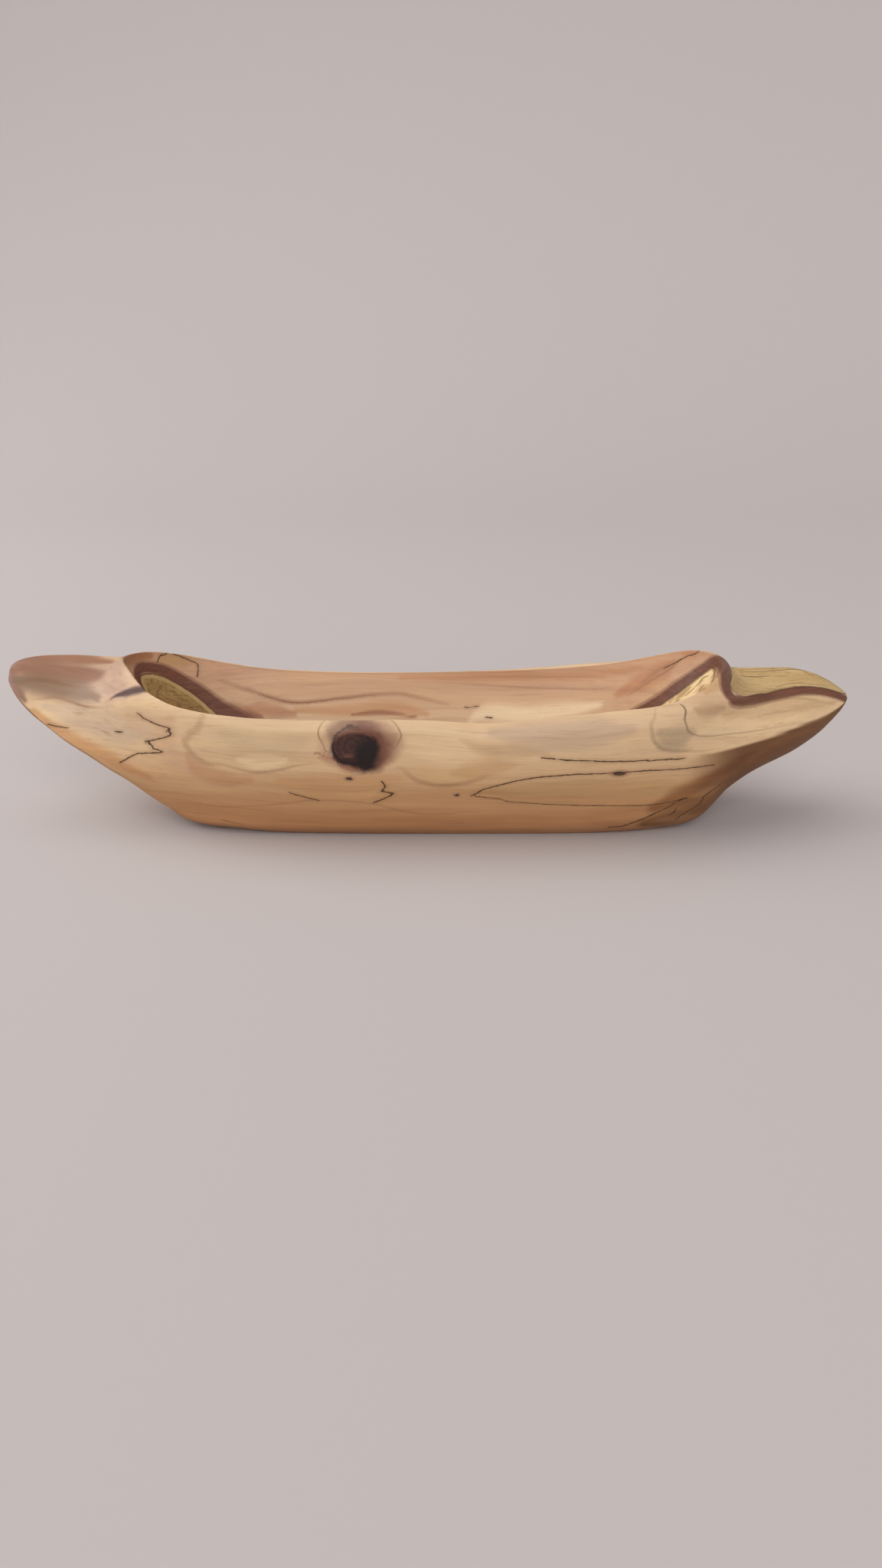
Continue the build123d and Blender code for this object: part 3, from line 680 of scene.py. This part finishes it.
class Graph:
    """Short names for the nodes that the wood is made of."""

    def __init__(self, name):
        self.material = bpy.data.materials.new(name)
        self.material.use_nodes = True
        self.nodes = self.material.node_tree.nodes
        self.links = self.material.node_tree.links
        self.nodes.clear()

    def put(self, socket, value):
        if isinstance(value, bpy.types.NodeSocket):
            self.links.new(value, socket)
        else:
            socket.default_value = value

    def math(self, operation, a, b=0.0, c=0.0):
        node = self.nodes.new("ShaderNodeMath")
        node.operation = operation
        for socket, value in zip(node.inputs, (a, b, c)):
            self.put(socket, value)
        return node.outputs[0]

    def add(self, a, b):
        return self.math("ADD", a, b)

    def sub(self, a, b):
        return self.math("SUBTRACT", a, b)

    def mul(self, a, b):
        return self.math("MULTIPLY", a, b)

    def madd(self, a, b, c):
        return self.math("MULTIPLY_ADD", a, b, c)

    def step(self, value, low, high, out_low=0.0, out_high=1.0):
        """Goes smoothly from out_low at low to out_high at high."""
        node = self.nodes.new("ShaderNodeMapRange")
        node.interpolation_type = "SMOOTHSTEP"
        for socket, v in zip(node.inputs, (value, low, high, out_low, out_high)):
            self.put(socket, v)
        return node.outputs[0]

    def length(self, a, b):
        return self.math("SQRT", self.add(self.mul(a, a), self.mul(b, b)))

    def attribute(self, name, output="Fac"):
        node = self.nodes.new("ShaderNodeAttribute")
        node.attribute_name = name
        return node.outputs[output]

    def noise(self, first, second, third, detail, roughness=0.5):
        """Noise over three pairs of a coordinate and how fast the noise runs along it."""
        place = self.nodes.new("ShaderNodeCombineXYZ")
        for socket, (coordinate, pace) in zip(place.inputs, (first, second, third)):
            self.put(socket, self.mul(coordinate, pace))
        node = self.nodes.new("ShaderNodeTexNoise")
        self.put(node.inputs["Vector"], place.outputs[0])
        node.inputs["Scale"].default_value = 1.0
        node.inputs["Detail"].default_value = detail
        node.inputs["Roughness"].default_value = roughness
        return node.outputs["Fac"]

    def mix(self, share, a, b, blend="MIX"):
        node = self.nodes.new("ShaderNodeMix")
        node.data_type = "RGBA"
        node.blend_type = blend
        self.put(node.inputs["Factor"], share)
        self.put(node.inputs["A"], a)
        self.put(node.inputs["B"], b)
        return node.outputs["Result"]

    def spot(self, a, b, centre, size, soft):
        """1 inside an ellipse in the plane of a and b, fading to 0 past it."""
        u = self.mul(self.sub(a, centre[0]), 1 / size[0])
        v = self.mul(self.sub(b, centre[1]), 1 / size[1])
        return self.step(self.length(u, v), 1 + soft, 1 - soft)

    def both(self, *masks):
        """The masks multiplied together."""
        total = masks[0]
        for mask in masks[1:]:
            total = self.mul(total, mask)
        return total

    def surface(self, colour, roughness):
        """The material's one shader."""
        shader = self.nodes.new("ShaderNodeBsdfPrincipled")
        self.put(shader.inputs["Base Color"], colour)
        self.put(shader.inputs["Roughness"], roughness)
        output = self.nodes.new("ShaderNodeOutputMaterial")
        self.links.new(shader.outputs[0], output.inputs[0])
        return shader


# Where the growth layers part round the big knot, along x and z in mm.
PARTING_X, PARTING_Z = -39.3, 52.3


def wood(name, on_body):
    """The wood of the block, from the place in it. The body also has the paint and the marks that
    lie on its skin. The knots have one plain colour under the same grain and the same ovals."""
    g = Graph(name)
    place = g.nodes.new("ShaderNodeTexCoord").outputs["Object"]
    split = g.nodes.new("ShaderNodeSeparateXYZ")
    g.put(split.inputs[0], place)
    x, y, z = (g.mul(split.outputs[k], 1000.0) for k in range(3))
    near = g.step(y, -8.0, -24.0)

    # The growth layers lie level in the block, wander a little, and part round the big knot.
    slow = g.noise((x, 0.011), (y, 0.02), (z, 0.02), 2.0)
    wander = g.madd(slow, 12.0, -6.0)
    dx, dz = g.sub(x, PARTING_X), g.sub(z, PARTING_Z)
    knot_square = g.add(g.mul(dx, dx), g.mul(dz, dz))
    part = g.mul(g.mul(dz, near), g.math("DIVIDE", -90.0, g.add(knot_square, 90.0)))
    layer = g.add(g.add(z, part), wander)

    streak = g.noise((x, 0.009), (y, 0.05), (layer, 0.20), 3.0, 0.55)
    fine = g.noise((x, 0.022), (y, 0.25), (layer, 0.85), 4.0, 0.6)
    hair = g.noise((x, 0.07), (y, 1.2), (layer, 3.4), 3.0, 0.6)
    fleck = g.noise((x, 0.35), (y, 1.0), (layer, 1.3), 2.0)
    cloud = g.noise((x, 0.022), (y, 0.03), (z, 0.05), 3.0)

    if on_body:
        colour = g.attribute("paint", "Color")
    else:
        colour = rgb(182, 138, 100)

    # Grain, from broad bands to fine lines.
    browner = g.mix(0.5, colour, rgb(150, 96, 62), "MULTIPLY")
    colour = g.mix(g.step(streak, 0.50, 0.30, 0.0, 0.30), colour, browner)
    colour = g.mix(g.step(streak, 0.52, 0.72, 0.0, 0.50), colour, rgb(222, 211, 196), "SOFT_LIGHT")
    colour = g.mix(g.step(fine, 0.46, 0.28, 0.0, 0.26), colour, rgb(150, 104, 70))
    colour = g.mix(g.step(fine, 0.54, 0.72, 0.0, 0.32), colour, rgb(228, 217, 203), "SOFT_LIGHT")
    colour = g.mix(g.step(hair, 0.46, 0.30, 0.0, 0.13), colour, rgb(128, 88, 60))
    colour = g.mix(g.step(fleck, 0.62, 0.78, 0.0, 0.12), colour, rgb(150, 104, 72))
    colour = g.mix(g.step(cloud, 0.52, 0.72, 0.0, 0.20), colour, rgb(204, 152, 112))

    bump = g.add(g.mul(fine, 0.35), g.mul(hair, 0.65))
    rough = g.step(fine, 0.2, 0.8, 0.50, 0.40)

    if on_body:
        jitter = g.noise((x, 0.55), (y, 0.55), (z, 0.55), 3.0, 0.6)
        ragged = g.madd(jitter, 2.0, -1.0)

        # The dark heartwood edge, then the yellow sapwood that it borders: the dished lug with
        # growth arcs, the olive lens, and the paler torn patch with its gouges.
        lens, patch, dish = g.attribute("lens"), g.attribute("patch"), g.attribute("dish")
        yellow_mm = g.add(g.math("MAXIMUM", g.math("MAXIMUM", lens, patch), dish), g.mul(ragged, 0.22))
        heart = g.add(g.attribute("heart"), g.mul(ragged, 0.10))
        heart_colour = g.mix(g.step(fine, 0.35, 0.65), rgb(95, 53, 38), rgb(112, 66, 50))
        colour = g.mix(g.step(heart, 1.45, 0.7, 0.0, 0.95), colour, heart_colour)
        heart_line = g.math("ABSOLUTE", g.sub(heart, 1.25))
        colour = g.mix(g.step(heart_line, 0.22, 0.03, 0.0, 0.3), colour, rgb(104, 66, 50))

        thread = g.noise((x, 0.045), (y, 1.3), (layer, 1.5), 3.0, 0.6)
        yellow = g.mix(g.step(streak, 0.35, 0.65), rgb(182, 150, 101), rgb(197, 167, 119))
        yellow = g.mix(g.step(thread, 0.47, 0.33, 0.0, 0.7), yellow, rgb(146, 116, 72))
        arcs = g.math("SINE", g.add(g.mul(yellow_mm, 2.6), g.madd(streak, 14.0, g.mul(ragged, 1.2))))
        in_dish = g.step(dish, 0.0, 0.8)
        dish_lines = g.both(g.step(arcs, 0.55, 0.95), in_dish, g.step(dish, 7.0, 2.5))
        yellow = g.mix(g.mul(dish_lines, 0.55), yellow, rgb(130, 102, 60))
        olive = g.mix(g.step(cloud, 0.4, 0.6), rgb(158, 126, 78), rgb(178, 146, 94))
        olive = g.mix(g.step(arcs, 0.6, 0.98, 0.0, 0.28), olive, rgb(120, 90, 54))
        mottle = g.noise((x, 0.12), (y, 0.5), (layer, 0.5), 3.0, 0.6)
        olive = g.mix(g.step(mottle, 0.48, 0.62, 0.0, 0.6), olive, rgb(118, 88, 50))
        olive = g.mix(g.step(fleck, 0.52, 0.62, 0.0, 0.35), olive, rgb(116, 88, 54))
        yellow = g.mix(g.step(lens, 1.6, 2.6), yellow, olive)
        lens_border = g.both(g.step(lens, 0.0, 0.6), g.step(lens, 2.6, 1.6), 0.5)
        yellow = g.mix(lens_border, yellow, rgb(178, 148, 98))
        tip = g.both(in_dish, g.step(x, 182.0, 198.0))
        yellow = g.mix(g.mul(tip, 0.6), yellow, rgb(172, 146, 104))
        gouge = g.noise((g.add(x, g.mul(z, -0.9)), 0.5), (y, 0.12), (g.add(x, z), 0.06), 3.0, 0.6)
        in_patch = g.step(patch, 0.6, 1.8)
        yellow = g.mix(g.mul(in_patch, 0.85), yellow, rgb(248, 218, 168))
        yellow = g.mix(g.both(in_patch, g.step(gouge, 0.50, 0.38), 0.7), yellow, rgb(164, 118, 70))
        yellow = g.mix(g.both(in_patch, g.step(gouge, 0.54, 0.66), 0.7), yellow, rgb(244, 214, 160))
        colour = g.mix(g.step(yellow_mm, -0.25, 0.25), colour, yellow)
        yellow_line = g.math("ABSOLUTE", yellow_mm)
        colour = g.mix(g.step(yellow_line, 0.7, 0.1, 0.0, 0.8), colour, rgb(78, 50, 36))
        bump = g.sub(bump, g.mul(g.both(in_patch, g.step(gouge, 0.5, 0.36)), 2.5))

        # Growth rings: soft lines, the strong ones with a hard middle.
        strength = g.attribute("ring_strength")
        ring = g.math("ABSOLUTE", g.add(g.attribute("ring_side"), g.mul(ragged, 0.35)))
        ring_end = g.step(g.attribute("ring_far"), 1.7, 1.2)
        hard = g.mul(g.step(ring, 0.42, 0.08, 0.0, 0.5), g.step(strength, 0.55, 0.75))
        ring_share = g.both(g.add(g.step(ring, 1.2, 0.1, 0.0, 0.7), hard), ring_end, strength)
        ring_colour = g.mix(g.step(x, 60.0, 90.0), rgb(142, 98, 68), rgb(118, 96, 68))
        colour = g.mix(ring_share, colour, ring_colour)

        # Spalting: thin lines, with a faint brown stain along them.
        wide = g.step(fleck, 0.35, 0.65, 0.7, 1.35)
        side = g.math("ABSOLUTE", g.add(g.attribute("spalt_side"), g.mul(ragged, 0.7)))
        line = g.step(g.mul(side, wide), 1.25, 0.45)
        reach = g.step(g.attribute("spalt_far"), 3.2, 2.2)
        stain = g.step(g.attribute("spalt_far"), 6.0, 0.5, 0.0, 0.28)
        colour = g.mix(stain, colour, rgb(150, 108, 72))
        spalt = g.both(line, reach)
        colour = g.mix(g.mul(spalt, 0.9), colour, rgb(68, 44, 30))
        bump = g.sub(bump, g.mul(spalt, 1.2))
        rough = g.add(rough, g.mul(g.step(yellow_mm, -0.3, 0.6), 0.14))

    # The big knot: a grey cap over it, a reddish fringe, the branch core with its rings, and the blackened
    # bark with painted shadow, which is widest at the lower right.
    knot_noise = g.noise((x, 0.13), (y, 0.13), (z, 0.13), 3.0, 0.55)
    crumbs = g.noise((x, 0.9), (y, 0.9), (z, 0.9), 3.0, 0.6)
    ripple = g.madd(knot_noise, 5.0, -2.5)

    def oval(cx, cz, half_long, half_high, soft, unevenness=1.0):
        """1 in an uneven oval on the near wall, fading out over soft mm."""
        u = g.sub(x, cx)
        v = g.mul(g.sub(z, cz), half_long / half_high)
        radius = g.add(g.length(u, v), g.mul(ripple, unevenness))
        return g.both(g.step(radius, half_long + soft / 2, half_long - soft / 2), near)

    for shape, strength, tint in KNOT_FRINGE:
        colour = g.mix(g.mul(oval(*shape), strength), colour, rgb(*tint))
    pith_x, pith_z = g.sub(x, -41.2), g.mul(g.sub(z, 53.9), 0.85)
    pith_mm = g.add(g.length(pith_x, pith_z), g.madd(crumbs, 2.4, ripple))
    core_rings = g.math("SINE", g.mul(pith_mm, 2.6))
    core_colour = g.mix(g.step(core_rings, 0.0, 1.0, 0.25, 0.8), rgb(60, 37, 33), rgb(90, 58, 50))
    core_colour = g.mix(g.step(crumbs, 0.5, 0.62, 0.0, 0.5), core_colour, rgb(44, 28, 26))
    colour = g.mix(g.mul(oval(-41.0, 52.8, 8.6, 6.8, 3.0, 0.8), 0.9), colour, core_colour)
    # The blackened bark, darkest at the lower right, where it is painted shadow as well.
    for shape, strength, tint in KNOT_BARK_AND_SHADOW:
        colour = g.mix(g.mul(oval(*shape), strength), colour, rgb(*tint))
    core_edge = g.step(g.math("ABSOLUTE", g.sub(pith_mm, 9.0)), 0.9, 0.2, 0.0, 0.55)
    edge_colour = g.mix(g.mul(near, g.step(dx, 4.0, -2.0)), colour, rgb(34, 22, 22))
    colour = g.mix(core_edge, colour, edge_colour)
    colour = g.mix(g.both(g.step(pith_mm, 1.5, 0.8), near), colour, rgb(26, 17, 16))
    in_knot = oval(-38.5, 51.8, 12.0, 11.0, 2.0)
    bump = g.add(bump, g.mul(in_knot, g.add(g.mul(core_rings, 0.5), g.mul(crumbs, -3.0))))

    for pin_x, pin_z, half_long, half_high in PINS:
        stain = g.both(g.spot(x, z, (pin_x, pin_z), (half_long * 1.5, half_high * 1.9), 0.45), near)
        colour = g.mix(g.mul(stain, 0.55), colour, rgb(128, 88, 58))
        pin = g.both(g.spot(x, z, (pin_x, pin_z), (half_long, half_high), 0.3), near)
        colour = g.mix(g.mul(pin, 0.85), colour, rgb(70, 46, 34))

    shader = g.surface(colour, rough)
    shader.inputs["Specular IOR Level"].default_value = 0.26
    shader.inputs["Coat Weight"].default_value = 0.05
    shader.inputs["Coat Roughness"].default_value = 0.32
    bumper = g.nodes.new("ShaderNodeBump")
    bumper.inputs["Strength"].default_value = 0.35
    bumper.inputs["Distance"].default_value = 0.00025
    g.put(bumper.inputs["Height"], bump)
    g.put(shader.inputs["Normal"], bumper.outputs["Normal"])
    return g.material


def give(thing, material):
    """Makes this the only material of thing."""
    thing.data.materials.clear()
    thing.data.materials.append(material)


# ---- the bowl ----
def knot_cutter(x, z, outer, inner, squash, depth):
    """A tapered plug in the near wall, as in the CAD model, to open the body for a knot."""
    sides = 96
    rings = []
    for y, radius in ((KNOT_FROM_Y, outer), (KNOT_FROM_Y + depth, inner)):
        rings.append([
            ((x + radius * math.cos(2 * math.pi * k / sides)) * MM, y * MM,
             (z + radius * squash * math.sin(2 * math.pi * k / sides)) * MM) for k in range(sides)
        ])
    faces = [(k, (k + 1) % sides, sides + (k + 1) % sides, sides + k) for k in range(sides)]
    faces += [tuple(range(sides))[::-1], tuple(range(sides, 2 * sides))]
    mesh = bpy.data.meshes.new("cutter")
    mesh.from_pydata(rings[0] + rings[1], [], faces)
    return add_object("cutter", mesh)


body = build_body()
bpy.context.view_layer.objects.active = body
for hole in KNOT_HOLES:
    cutter = knot_cutter(*hole)
    cut = body.modifiers.new("cut", "BOOLEAN")
    cut.operation = "DIFFERENCE"
    cut.solver = "EXACT"
    cut.object = cutter
    depsgraph = bpy.context.evaluated_depsgraph_get()
    cut_mesh = bpy.data.meshes.new_from_object(body.evaluated_get(depsgraph))
    body.modifiers.clear()
    body.data = cut_mesh
    bpy.data.objects.remove(cutter)
body.data.set_sharp_from_angle(angle=math.radians(SHARP_EDGE_DEGREES))
give(body, wood("carved_wood", True))
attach(body, "root")
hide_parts("bowl_body")

plain = wood("knot_wood", False)
for node in ("knot_core", "knot_bark_ring", "pin_knots"):
    give(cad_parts[node], plain)

# ---- floor, light and camera, in metres ----
# A sheet of paper that lies under the bowl and curves up behind it.
PAPER_FRONT, PAPER_BEND, PAPER_RADIUS, PAPER_TOP, PAPER_HALF_WIDTH = -3.0, 0.9, 1.6, 4.5, 5.0
# The camera stands where the photo was taken from: place, tilt down in degrees, lens in mm.
CAMERA_PLACE, CAMERA_TILT, CAMERA_LENS = (0.0, -0.487, 0.228), 23.7, 23.625

profile = [(PAPER_FRONT, 0.0), (PAPER_BEND, 0.0)]
for angle in np.linspace(0.1, math.pi / 2, 24):
    profile.append((PAPER_BEND + PAPER_RADIUS * math.sin(angle), PAPER_RADIUS * (1 - math.cos(angle))))
profile.append((PAPER_BEND + PAPER_RADIUS, PAPER_TOP))
corners = [(side * PAPER_HALF_WIDTH, y, z) for y, z in profile for side in (-1, 1)]
sweep = [(2 * k, 2 * k + 1, 2 * k + 3, 2 * k + 2) for k in range(len(profile) - 1)]
floor_mesh = bpy.data.meshes.new("floor")
floor_mesh.from_pydata(corners, [], sweep)
floor_mesh.shade_smooth()
floor = add_object("floor", floor_mesh)
paper = Graph("floor_paper")
paper.surface(rgb(190, 182, 180), 0.8)
give(floor, paper.material)


def softbox(name, place, aim, size, power, colour):
    """A round soft light that faces aim."""
    light = bpy.data.lights.new(name, "AREA")
    light.shape = "DISK"
    light.size = size
    light.energy = power
    light.color = colour
    lamp = add_object(name, light)
    lamp.location = place
    lamp.rotation_euler = (Vector(aim) - Vector(place)).to_track_quat("-Z", "Y").to_euler()


def soft_sun(name, towards, strength, spread, colour):
    """An even light from far away, as soft as spread degrees of sky."""
    light = bpy.data.lights.new(name, "SUN")
    light.energy = strength
    light.angle = math.radians(spread)
    light.color = colour
    lamp = add_object(name, light)
    lamp.rotation_euler = Vector(towards).to_track_quat("Z", "Y").to_euler()


soft_sun("above", (-0.45, 0.20, 1.0), strength=1.15, spread=70, colour=(1.0, 0.98, 0.96))
soft_sun("front", (0.15, -1.0, 0.62), strength=1.25, spread=50, colour=(1.0, 0.98, 0.97))
softbox("window", (-1.5, 0.25, 1.0), (0, 0, 0.03), size=1.4, power=10.0, colour=(0.97, 0.99, 1.0))
world = bpy.data.worlds.new("studio")
world.use_nodes = True
world.node_tree.nodes["Background"].inputs["Color"].default_value = (1.0, 0.99, 0.99, 1)
world.node_tree.nodes["Background"].inputs["Strength"].default_value = 0.42
bpy.context.scene.world = world
bpy.context.scene.view_settings.view_transform = "Standard"

camera_data = bpy.data.cameras.new("camera")
camera_data.sensor_fit = "VERTICAL"
camera_data.sensor_height = 36.0
camera_data.lens = CAMERA_LENS
camera = add_object("camera", camera_data)
camera.location = CAMERA_PLACE
camera.rotation_euler = (math.radians(90 - CAMERA_TILT), 0, 0)
bpy.context.scene.camera = camera
